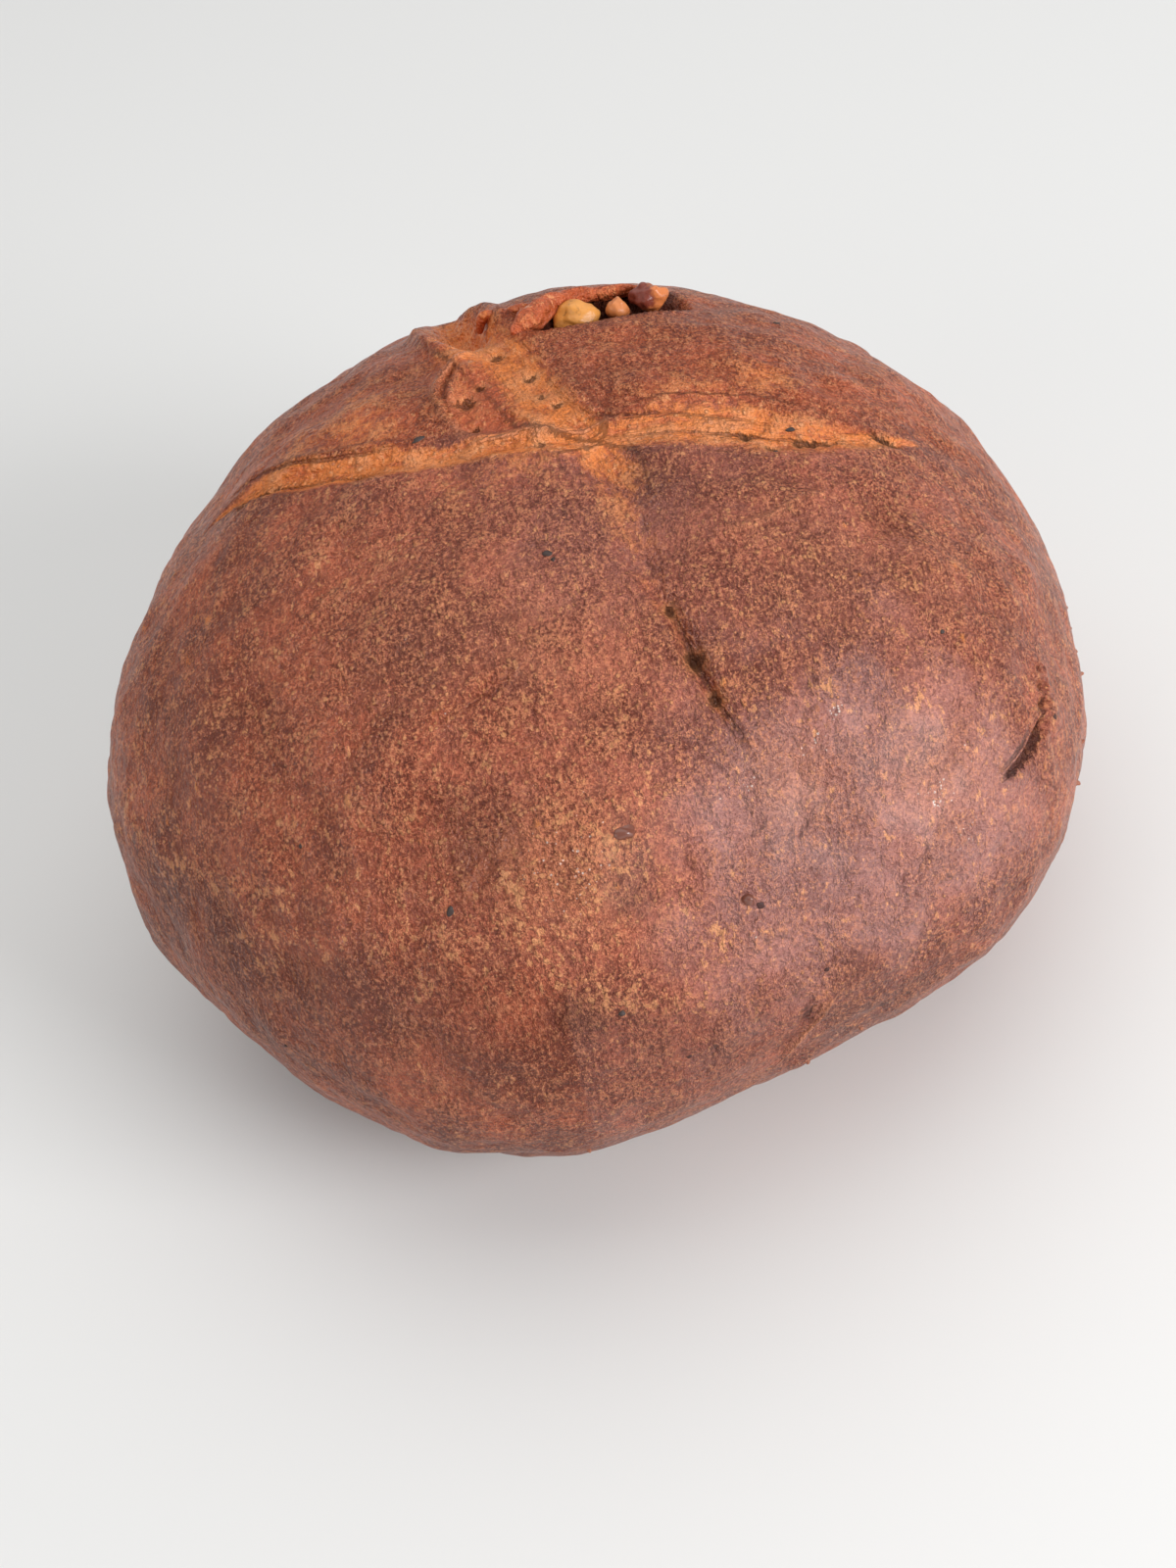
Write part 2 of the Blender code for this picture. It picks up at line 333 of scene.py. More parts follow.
SEAMS = {  # name: knots (x, y, z, half width, strength) in millimetres; below 0 is a pale thread
    "fissure": (
        (74.6, -36.0, 70.0, 0.3, 0.1), (73.3, -41.0, 66.4, 0.4, 0.5), (72.1, -45.9, 63.5, 0.5, 0.8),
        (70.3, -49.7, 62.2, 0.8, 1.0), (67.1, -53.4, 62.2, 1.1, 1.0), (64.5, -56.0, 62.6, 0.9, 1.0),
        (61.0, -58.3, 63.6, 0.4, 0.3),
    ),
    "front_slit": (
        (14.6, -35.0, 98.8, 0.3, 0.1), (16.4, -40.5, 96.2, 0.55, 0.55), (17.8, -46.5, 92.9, 0.6, 0.65),
        (19.0, -50.5, 89.9, 0.4, 0.45), (20.8, -54.5, 86.6, 0.35, 0.6), (22.4, -58.0, 84.2, 0.3, 0.2),
    ),
    "quarter_corner": (
        (16.4, -3.4, 105.4, 0.4, 0.2), (17.2, -7.5, 105.0, 0.5, 0.5), (17.4, -12, 104.6, 0.5, 0.45),
        (16.6, -18, 103.7, 0.4, 0.2),
    ),
    "cross_thread": (
        (-9.0, 4.6, 105.9, 0.3, -0.3), (-2.0, 3.2, 106.0, 0.35, -0.9), (4.0, 2.2, 106.0, 0.35, -0.7),
        (9.0, 0.6, 106.0, 0.35, -0.9), (13.4, 1.6, 105.6, 0.35, -0.8), (16.5, 2.6, 105.3, 0.3, -0.2),
    ),
    "right_crack_upper": (
        (11.0, 4.0, 105.9, 0.5, 0.3), (16.0, 3.0, 105.4, 0.4, 0.6), (24.0, 1.6, 104.3, 0.3, 0.4),
        (32.0, -0.6, 102.9, 0.3, 0.4), (40.0, -2.2, 100.8, 0.3, 0.3),
    ),
    "right_crack": (
        (14.0, -1.2, 105.5, 0.35, 0.3), (22.0, -2.4, 104.6, 0.3, 0.45), (30.0, -3.8, 103.2, 0.3, 0.5),
        (36.0, -5.0, 101.8, 0.5, 0.9), (41.0, -5.6, 100.3, 0.3, 0.4), (46.5, -6.4, 98.3, 0.6, 1.0),
        (52.0, -6.2, 96.0, 0.3, 0.3), (56.0, -5.0, 94.0, 0.3, 0.2),
    ),
    "right_tip": (
        (56.0, -2.6, 94.2, 0.4, 0.2), (58.5, -3.4, 92.3, 0.9, 1.0), (61.0, -5.4, 90.4, 0.6, 0.4),
    ),
    "left_rim": (
        (-18.0, 8.6, 104.8, 0.3, 0.2), (-25.0, 10.6, 103.9, 0.3, 0.4), (-33.0, 14.4, 101.9, 0.4, 0.6),
        (-41.0, 18.6, 99.0, 0.4, 0.7), (-48.0, 21.4, 95.4, 0.4, 0.5), (-54.0, 22.6, 91.5, 0.3, 0.2),
    ),
    "left_floor": (
        (-24.0, 4.6, 104.3, 0.3, 0.3), (-31.0, 8.6, 103.0, 0.3, 0.4), (-40.0, 13.2, 100.0, 0.35, 0.5),
        (-47.0, 16.4, 96.8, 0.5, 0.8), (-52.0, 17.6, 94.0, 0.45, 0.8), (-58.0, 18.6, 90.2, 0.3, 0.3),
    ),
    "patch_pleat": (
        (-7.4, 30.5, 104.0, 0.3, 0.2), (-10.2, 25.0, 104.6, 0.35, 0.5), (-11.6, 18.5, 105.2, 0.35, 0.5),
        (-10.4, 11.5, 105.7, 0.3, 0.3), (-8.0, 8.6, 105.8, 0.3, 0.1),
    ),
    "patch_thread": (
        (-6.4, 33.0, 103.2, 0.3, -0.3), (-8.6, 29.2, 104.0, 0.4, -0.9), (-12.4, 23.0, 104.8, 0.3, -0.5),
        (-12.9, 16.5, 105.2, 0.3, -0.5), (-10.8, 9.5, 105.7, 0.3, -0.2),
    ),
    "band_edge": (
        (11.4, 3.6, 105.9, 0.5, 0.4), (8.6, 9.5, 105.9, 0.5, 0.3), (6.6, 16.5, 105.7, 0.4, 0.3),
        (5.4, 24.0, 105.0, 0.3, 0.2), (3.6, 31.0, 104.0, 0.4, 0.3), (1.6, 36.5, 102.9, 0.4, 0.2),
    ),
    "low_thread": (
        (27.4, -76.6, 45.0, 0.35, -0.3), (24.5, -77.4, 41.0, 0.45, -1.0), (21.3, -77.8, 36.7, 0.5, -0.9),
        (18.0, -77.3, 31.0, 0.4, -0.8), (15.5, -76.5, 27.0, 0.3, -0.2),
    ),
    "low_slit": (
        (24.0, -78.6, 44.0, 0.4, 0.2), (22.4, -78.7, 42.2, 0.7, 1.0), (20.8, -78.6, 40.8, 0.4, 0.2),
    ),
}
INSIDE = np.array([0, 0, 0.03])  # a point well inside the loaf


def through(knots, count):
    """Points evenly spread in share along a smooth curve through the knots (Catmull-Rom)."""
    knots = np.array(knots, float)
    padded = np.vstack([2 * knots[0] - knots[1], knots, 2 * knots[-1] - knots[-2]])
    share = np.linspace(0, len(knots) - 1, count)
    first = np.minimum(share.astype(int), len(knots) - 2)
    part = (share - first)[:, None]
    a, b, c, d = (padded[first + i] for i in range(4))
    return 0.5 * (2 * b + (c - a) * part + (2 * a - 5 * b + 4 * c - d) * part**2
                  + (3 * b - a - 3 * c + d) * part**3)


def beside(points, path, count=220, reach=4):
    """Distance to the left of a path, distance along it, half width and depth there, for each point.

    Each point takes its nearest sample of the path. The side comes from the triple product of the
    path's direction, the way to the point, and straight out of the loaf.
    """
    line = through(path, count) * MM
    flat = points.reshape(-1, 3)
    margin = reach * line[:, 3].max()
    low, high = line[:, :3].min(0) - margin, line[:, :3].max(0) + margin
    near = np.flatnonzero(((flat > low) & (flat < high)).all(axis=1))
    ahead = np.gradient(line[:, :3], axis=0)
    step = np.linalg.norm(ahead, axis=1)
    gap = flat[near, None, :] - line[None, :, :3]
    distance = np.linalg.norm(gap, axis=2)
    best = distance.argmin(axis=1)
    own = gap[np.arange(len(near)), best]
    out = flat[near] - INSIDE
    side = np.sign((np.cross(ahead[best], own) * out).sum(axis=1))
    whole = np.full(flat.shape[0], 1.0)
    left, run, half, depth = whole.copy(), whole * 0, whole * MM, whole * 0
    left[near] = side * distance[np.arange(len(near)), best]
    run[near] = np.cumsum(step)[best] + (own * ahead[best]).sum(axis=1) / step[best]
    half[near], depth[near] = line[best, 3], line[best, 4]
    return [values.reshape(points.shape[:-1]) for values in (left, run, half, depth)]


def seam_fields(points):
    """Place across the nearest thin crack, from -3 to 3 half widths, and that crack's strength.

    The place keeps its sign, so a crack much thinner than the grid is still sharp between two points.
    """
    across, strength = np.full(points.shape[:-1], 3.0), np.zeros(points.shape[:-1])
    for path in SEAMS.values():
        left, _, half, depth = beside(points, path, 160, 9)
        here = np.clip(left / half, -3, 3)
        nearer = np.abs(here) < np.abs(across)
        across = np.where(nearer, here, across)
        strength = np.where(nearer, depth / MM * (1 - ease(1.8, 2.8, np.abs(here))), strength)
    return across, strength


def trough(left, half, depth):
    """Depth of a round-bottomed dip, and the height of the two lips beside it."""
    across = np.abs(left) / half
    return depth * (1 - ease(0.2, 1.4, across)), 0.25 * depth * np.exp(-(((across - 1.6) / 0.4) ** 2))


print("arms:", list(ARMS), "folds:", list(FOLDS), "seams:", len(SEAMS))

# %% [markdown]
# ## The tear
# Behind the cross one quarter of the skin pulled away and left a crescent hole. Its near edge is almost
# straight, and its far edge is an arc, so the hole is where y lies between two curves of x. The crumb on
# its floor rises under each piece of nut to hold it.

# %% Shape the tear and put every dip and rise together
NEAR_EDGE = ((4, 34.0), (12, 33.6), (20, 33.8), (28, 34.6), (35, 36.5))  # (x, y) in millimetres
FAR_EDGE = ((4, 34.5), (7, 37.0), (10, 41.0), (13, 44.0), (18, 46.5), (24, 47.0), (30, 46.0), (35, 41.0))
TEAR_DEPTH = 6.5 * MM
TEAR_WALL = 0.8 * MM
# painted shadow: the tear's near-black colour runs on this far under the flap
TEAR_SHADE = 2 * MM  # how far the tear's dark colour runs on under the flap
SEAT_SINK = 0.9 * MM  # how deep each piece of nut sits in the crumb that holds it
PATCH = ((-3.6, 14.5, 105.7), 9.0)  # middle and reach of the sunken smooth quarter, in millimetres
PATCH_SINK = 0.9 * MM
SEAM_SINK = 0.5 * MM
RIPPLES = ((0.42, 0.021, 3), (0.24, 0.0085, 5), (0.07, 0.0038, 7))  # (height in mm, length in m, seed)


def inside_tear(points, beyond=0.0):
    """1 inside the crescent, 0 outside, with a wall TEAR_WALL wide; beyond moves the far edge back."""
    x, y, z = (points[..., i] for i in range(3))
    near = np.interp(x / MM, *zip(*NEAR_EDGE)) * MM
    far = np.interp(x / MM, *zip(*FAR_EDGE)) * MM + beyond
    between = ease(0, TEAR_WALL, y - near) * ease(0, TEAR_WALL * 1.6, far - y)
    return between * ease(4, 6, x / MM) * (1 - ease(32, 35, x / MM)) * (z > 0.08)


def seats(points):
    """Height of the crumb that rises from the tear's floor to hold each piece of nut.

    Under a nut it reaches SEAT_SINK above the bottom of the nut's box, and it falls away to the sides.
    """
    floor_there = points - dome_facing * TEAR_DEPTH
    upright = np.maximum(dome_facing[..., 2], 0.5)
    height = np.zeros(points.shape[:-1])
    for node in ("nut_large", "nut_small", "nut_toasted"):
        low, high = (np.array(corner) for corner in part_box(node))
        aside = (floor_there - (low + high) / 2) / (high - low)
        across = np.hypot(aside[..., 0], aside[..., 1])
        rise = (low[2] + SEAT_SINK - floor_there[..., 2]) / upright
        height = np.maximum(height, rise * (1 - ease(0.2, 0.75, across)))
    return height


def skin():
    """Push of every point along the surface, and the fields that the crust's colours use.

    Where arms meet, the deepest one counts, and no lip stands inside another arm.
    """
    points = smooth_dome
    depth, lips, cut = (np.zeros(points.shape[:-1]) for _ in range(3))
    strand = np.zeros(points.shape)
    for place, (name, path) in enumerate({**ARMS, "fissure": FISSURE}.items()):
        left, run, half, deep = beside(points, path)
        dip, lip = trough(left, half, deep)
        depth, lips = np.maximum(depth, dip), np.maximum(lips, lip)
        here = 1 - ease(0.3, 1.9, np.abs(left) / half)
        if name == "fissure":
            here *= 0.5
        own = here > cut
        strand[own] = np.stack([run[own], left[own], np.full(own.sum(), place * 0.1)], axis=1)
        cut = np.maximum(cut, here)
    push = lips * (1 - cut) - depth + bells(points, SWELLS) - bells(points, PITS)
    centre, reach = PATCH
    gap = np.linalg.norm((points / MM - np.array(centre)) * np.array([1.0, 0.72, 0.5]), axis=-1)
    patch = (1 - ease(0.6, 1.1, gap / reach)) * (1 - 0.8 * cut)
    push -= PATCH_SINK * patch
    fold_and_painted_highlight = np.zeros(points.shape[:-1])
    for path in FOLDS.values():
        left, _, half, height = beside(points, path)
        welt = np.exp(-((left / half) ** 2))
        push += height * welt
        fold_and_painted_highlight = np.maximum(fold_and_painted_highlight, welt * ease(0.25, 0.9, height / MM))
    for height, length, seed in RIPPLES:
        push += height * MM * ripples(points, length, seed)
    tear = inside_tear(points)
    push += (seats(points) - TEAR_DEPTH) * tear
    seam, seam_strength = seam_fields(points)
    push -= SEAM_SINK * np.clip(seam_strength, 0, 1) * (1 - ease(0.3, 1.6, np.abs(seam)))
    # painted shadow: the tear's dark colour, reaching on under the flap
    shaded = inside_tear(points, TEAR_SHADE)
    return push, {"cut": cut, "strand": strand, "patch": patch, "tear": shaded, "fold_and_painted_highlight": fold_and_painted_highlight,
                  "seam": seam, "seam_strength": seam_strength}


push, fields = skin()
above_foot = ease(0.0, 0.012, smooth_dome[..., 2])
loaf_points = smooth_dome + dome_facing * (push * above_foot)[..., None]
SOLE_ROUND = 0.0012
z = loaf_points[..., 2]
loaf_points[..., 2] = (z + np.sqrt(z * z + SOLE_ROUND**2)) / 2
print("deepest", push.min().round(5), "highest", push.max().round(5))

# %% [markdown]
# ## From grid to mesh
# The sheet's outer edge ends on the flat underside, where one flat face closes it. Every value that
# the colours need is stored on the points as an attribute, so the finish follows the shape exactly.

# %% Make the loaf's mesh


def grid_faces(rows, columns, around=False):
    """Corner numbers of the squares of a grid; around joins the last column to the first."""
    number = np.arange(rows * columns).reshape(rows, columns)
    if around:
        number = np.hstack([number, number[:, :1]])
    return np.stack([number[:-1, :-1], number[:-1, 1:], number[1:, 1:], number[1:, :-1]], -1).reshape(-1, 4)


def add_piece(name, points, faces, material, replaces=None):
    """A mesh object at the origin that rides on the loaf's one body."""
    mesh = bpy.data.meshes.new(name)
    mesh.from_pydata(points.reshape(-1, 3).tolist(), [], [list(map(int, face)) for face in faces])
    mesh.materials.append(material)
    mesh.shade_smooth()
    made = bpy.data.objects.new(name, mesh)
    bpy.context.scene.collection.objects.link(made)
    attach(made, "root")
    if replaces:
        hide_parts(replaces)
    return made


def store(piece, name, values):
    """Keeps one number for each point of a piece, or one vector if the last axis counts three."""
    vector = values.shape[-1] == 3
    layer = piece.data.attributes.new(name, "FLOAT_VECTOR" if vector else "FLOAT", "POINT")
    layer.data.foreach_set("vector" if vector else "value", values.astype(np.float32).ravel())


def edge_loop(rows, columns):
    """Corner numbers round the outside of a grid, in order."""
    number = np.arange(rows * columns).reshape(rows, columns)
    return np.concatenate([number[0, :-1], number[:-1, -1], number[-1, :0:-1], number[:0:-1, 0]])


side = loaf_points.shape[0]
crust_faces = [*grid_faces(side, side), edge_loop(side, side)[::-1]]
print("loaf faces", len(crust_faces))

# %% [markdown]
# ## Where the crust browns
# Crust is not one colour. Fine blisters bloom tan where the skin stretched, a smoother patch at the front
# right is painted mauve-grey as a painted reflection of the window, and cuts stay orange. Each of these
# is a soft-edged field over the skin.

# %% Paint the fields of the crust
WARM_SPOTS = (  # (x, y, z, radius, strength in thousandths): tan patches
    (-3, -67, 81, 7, 350), (-6, -73, 74, 5, 350), (11.5, -76, 63.8, 1.9, 1000),
    (35.8, -51.3, 86, 1.8, 1000), (49.3, -52.4, 79.7, 1.6, 900), (63.3, -52, 69.1, 1.6, 900),
    (-35.3, -75, 67.4, 2.2, 900), (-18.2, -69.4, 79.7, 2.0, 800), (-36.9, -10.8, 100.5, 1.8, 900),
    (-9, -51, 92, 1.6, 900),
)
PAINTED_HIGHLIGHT_SPOTS = (  # the same columns: painted highlights, salmon where swells and the glossy front face the light
    (-8, -69, 81, 9, 1000), (-20, -30, 99, 16, 260), (2, -46, 95, 12, 220), (-18, -66, 83, 5, 400),
    (28, -62, 79, 8, 500), (50, -60, 71, 9, 450), (-4, -40, 98, 8, 300), (40, -34, 96, 10, 350),
    (60, -30, 87, 10, 350),
)
PAINTED_SHADE_SPOTS = (  # the same columns: painted shade in dips, and a few darker patches
    (21, -24, 102, 9, 260), (-4, 14, 105.7, 8, 180), (2, -83, 50, 10, 180), (-30, -81, 60, 12, 160),
    (-24, -62, 84, 9, 360), (-13.4, -82.1, 61.6, 3.2, 350), (-10.0, -81.5, 58.0, 2.6, 300),
    (54, -24, 91.5, 5, 250), (17, -14, 104, 4, 160), (-1, -73, 72, 3, 300),
)
RED_SPOTS = (  # the same columns: brick-red flushes
    (42.5, 9.6, 100.1, 5, 900), (35, 14, 101, 6, 500), (-18, -69, 80, 7, 700), (55, -52, 77, 6, 700),
    (52, -63, 66, 6, 600), (17, -76.5, 58.5, 2.2, 900), (-13, -24, 103, 6, 500), (-20, 18, 103.5, 8, 500),
)
AMBER_SPOTS = (  # the same columns: orange, as in the cuts
    (42.5, 9.6, 100.1, 5, 550), (30, 6, 103, 9, 300), (-27, 20, 103, 11, 420), (-40, 24, 98, 8, 300),
    (-9, 33, 103, 5, 450), (0, -2, 106, 8, 500), (-14, -6, 105, 7, 250), (-4, -67, 81, 8, 300),
)
GLINTS = (  # the same columns: glossy places with small bright gleams
    (35.9, -54.2, 83.5, 2.0, 1000), (32.1, -57.6, 81.5, 2.6, 900), (26.5, -60, 81, 2.2, 600),
    (21.1, -61.7, 80.2, 2.6, 800), (15.2, -64.4, 78.9, 2.6, 500), (49.7, -62.3, 68.2, 3.4, 900),
    (52.8, -64.8, 61.1, 3.0, 700), (56, -56, 72, 5.0, 400), (17.0, -76.5, 60.5, 1.4, 900),
    (16.8, -75, 63.0, 1.2, 700), (-25.2, -32.7, 99.1, 2.2, 700), (-8, -69, 82, 9.0, 650),
    (-22, -46, 94.8, 3.0, 500),
)


def crust_fields(points, fields):
    """One field for each input of the crust's finish, most of them from 0 to 1.

    A field is a product of soft steps over the bearing round the loaf and the height in millimetres,
    made wavy by one ripple, plus the bell curves of its own spots.
    """
    x, y, z = (points[..., i] / MM for i in range(3))
    bearing = np.degrees(np.arctan2(y, x))
    wobble = 3.5 * ripples(points, 0.013, 11)
    # painted reflection: sheen marks the smoother, glossier patch at the front right, where the window's
    # mauve-grey reflection is painted into the colour
    sheen = (1 - ease(9, 32, np.abs(bearing + 62 + wobble))) * (1 - ease(7, 29, np.abs(z - 67 + wobble)))
    front = (bearing > -175) & (bearing < -30)
    low_line = np.interp(bearing, (-175, -130, -105, -88, -60, -30), (60, 68, 73, 52, 40, 36))
    low = (1 - ease(-3, 4, z - low_line + wobble)) * front
    behind = ease(0, 5, y - np.interp(x, (-60, -20, 11, 60, 88), (22, 7, 0, -4, -4)) + 0.5 * wobble)
    smooth_quarter = np.exp(-(((x - 4) / 17) ** 2) - ((y + 27) / 13) ** 2) * (z > 80)
    bloom = (1 - 0.8 * sheen) * (1 - 0.65 * low) * (1 - 0.7 * behind) * (1 - 0.6 * smooth_quarter)
    edge_line = np.exp(-(((z - low_line - 2 + wobble) / 3.0) ** 2)) * front * (bearing < -85)
    bloom = np.clip(bloom + 0.6 * edge_line, 0, 1) * (1 - fields["patch"])
    # painted reflection: more of the window's sheen is painted on the side that faces it
    painted_window_sheen = 0.28 * (1 - behind) * (1 - low) * ease(-60, 20, x)
    right = (1 - ease(10, 30, np.abs(bearing + 15))) * (1 - behind) * (1 - sheen)
    front_fades = 1 - 0.66 * ease(-1, 24, -y)
    amber = bells(points, AMBER_SPOTS) + 0.14 * behind * (z > 60)
    return {
        "cut": np.clip(fields["cut"] * front_fades + amber, 0, 1),
        "strand": fields["strand"],
        "patch": fields["patch"],
        # painted highlights: the highlight spots add salmon to the fold field on swells that face the light
        "fold_and_painted_highlight": np.clip(fields["fold_and_painted_highlight"] + bells(points, PAINTED_HIGHLIGHT_SPOTS), 0, 1),
        "bloom": bloom,
        "sheen": np.clip(sheen + 0.3 * low * (bearing > -100) + 0.25 * smooth_quarter + painted_window_sheen, 0, 1),
        "warm": np.clip(bells(points, WARM_SPOTS) + 0.35 * edge_line, 0, 1),
        "seam": fields["seam"],
        "seam_strength": fields["seam_strength"],
        "pit": nearness(points, PITS),
        # deep: painted shadow in the tear and under its flap, painted shade in the dents, and darker towards
        # the bottom of the front
        "deep": np.clip(fields["tear"] + bells(points, PAINTED_SHADE_SPOTS) + 0.19 * low, 0, 1),
        "red": np.clip(bells(points, RED_SPOTS) + 0.65 * behind + 0.25 * right, 0, 1),
        "glint": np.clip(bells(points, GLINTS), 0, 1),
    }


crust_values = crust_fields(smooth_dome, fields)
for name, values in crust_values.items():
    print(name, "mean", values.mean().round(3))

# %% [markdown]
# ## Recipes for finishes
# A finish is a small network of nodes. These helpers lay nodes down and join them, so that a recipe
# reads from top to bottom.

# %% Helpers that lay nodes


def lay(tree, kind, sockets=None, **settings):
    """Adds a node. Each entry of sockets is a value, or another node's output to join."""
    made = tree.nodes.new("ShaderNode" + kind)
    for name, value in settings.items():
        setattr(made, name, value)
    for name, value in (sockets or {}).items():
        if isinstance(value, bpy.types.NodeSocket):
            tree.links.new(value, made.inputs[name])
        else:
            made.inputs[name].default_value = value
    return made


def sum_of(tree, operation, first, second):
    """One step of arithmetic on two values."""
    return lay(tree, "Math", {0: first, 1: second}, operation=operation).outputs[0]


def span(tree, value, low, high, out_low=0.0, out_high=1.0):
    """Smoothly carries low..high to out_low..out_high and stops at the ends."""
    sockets = {"Value": value, "From Min": low, "From Max": high, "To Min": out_low, "To Max": out_high}
    return lay(tree, "MapRange", sockets, interpolation_type="SMOOTHSTEP").outputs["Result"]


def mix(tree, share, first, second):
    """First colour at share 0, second at share 1."""
    return lay(tree, "Mix", {0: share, 6: first, 7: second}, data_type="RGBA").outputs[2]


def cloud(tree, place, scale, detail=3.0, roughness=0.55):
    """Soft noise from about 0.3 to 0.7, scale counted in lumps per metre."""
    sockets = {"Vector": place, "Scale": scale, "Detail": detail, "Roughness": roughness}
    return lay(tree, "TexNoise", sockets).outputs["Fac"]


def dots(tree, place, scale, share):
    """Round spots, one in each cell, of random size, from none at share 0 to crowded at share 1."""
    cells = lay(tree, "TexVoronoi", {"Vector": place, "Scale": scale, "Randomness": 1.0})
    lot = lay(tree, "SeparateColor", {0: cells.outputs["Color"]}).outputs[0]
    size = sum_of(tree, "MULTIPLY", sum_of(tree, "SUBTRACT", lot, sum_of(tree, "SUBTRACT", 1.0, share)), 0.9)
    spot = sum_of(tree, "SUBTRACT", size, cells.outputs["Distance"])
    return span(tree, spot, -0.05, 0.22), lay(tree, "SeparateColor", {0: cells.outputs["Color"]}).outputs[1]


def start_group(name, inputs, outputs):
    """An empty node group with named sockets, and its input and output nodes."""
    group = bpy.data.node_groups.new(name, "ShaderNodeTree")
    for socket, kind in inputs.items():
        group.interface.new_socket(socket, in_out="INPUT", socket_type="NodeSocket" + kind)
    for socket, kind in outputs.items():
        group.interface.new_socket(socket, in_out="OUTPUT", socket_type="NodeSocket" + kind)
    return group, group.nodes.new("NodeGroupInput").outputs, group.nodes.new("NodeGroupOutput").inputs


def attribute(tree, name, output="Fac"):
    return lay(tree, "Attribute", attribute_name=name).outputs[output]


print("helpers ready")

# %% [markdown]
# ## Crust
# The crust is a red-brown skin, glazed and slightly glossy, under a bloom of tan blisters less than a
# millimetre wide. The recipe starts from two browns, clouds them, and lays blisters, cuts and stains on
# top. The same blisters raise the surface, so each one catches the light.

# %% Crust recipe
DEEP_RED = (0.190, 0.034, 0.014, 1.0)
RED_BROWN = (0.570, 0.130, 0.054, 1.0)
SALMON = (0.880, 0.320, 0.150, 1.0)
# painted reflection: the window's mauve-grey sheen, painted into the crust's colour
PAINTED_SHEEN_MAUVE = (0.415, 0.215, 0.198, 1.0)
TAN = (1.000, 0.430, 0.180, 1.0)
AMBER = (0.960, 0.275, 0.055, 1.0)
BRICK = (0.600, 0.115, 0.030, 1.0)
# painted shade for holes, slits, pores and the tear; on the nuts, a dark mottle of their skin
HOLLOW_SHADE_AND_MOTTLE = (0.060, 0.012, 0.006, 1.0)
GLEAM = (1.000, 0.840, 0.740, 1.0)
CRUST_FIELDS = ("Cut", "Patch", "Fold_and_painted_highlight", "Bloom", "Sheen", "Warm", "Deep", "Red", "Glint")
CRUST_FIELDS += ("Seam", "Seam_strength", "Pit")


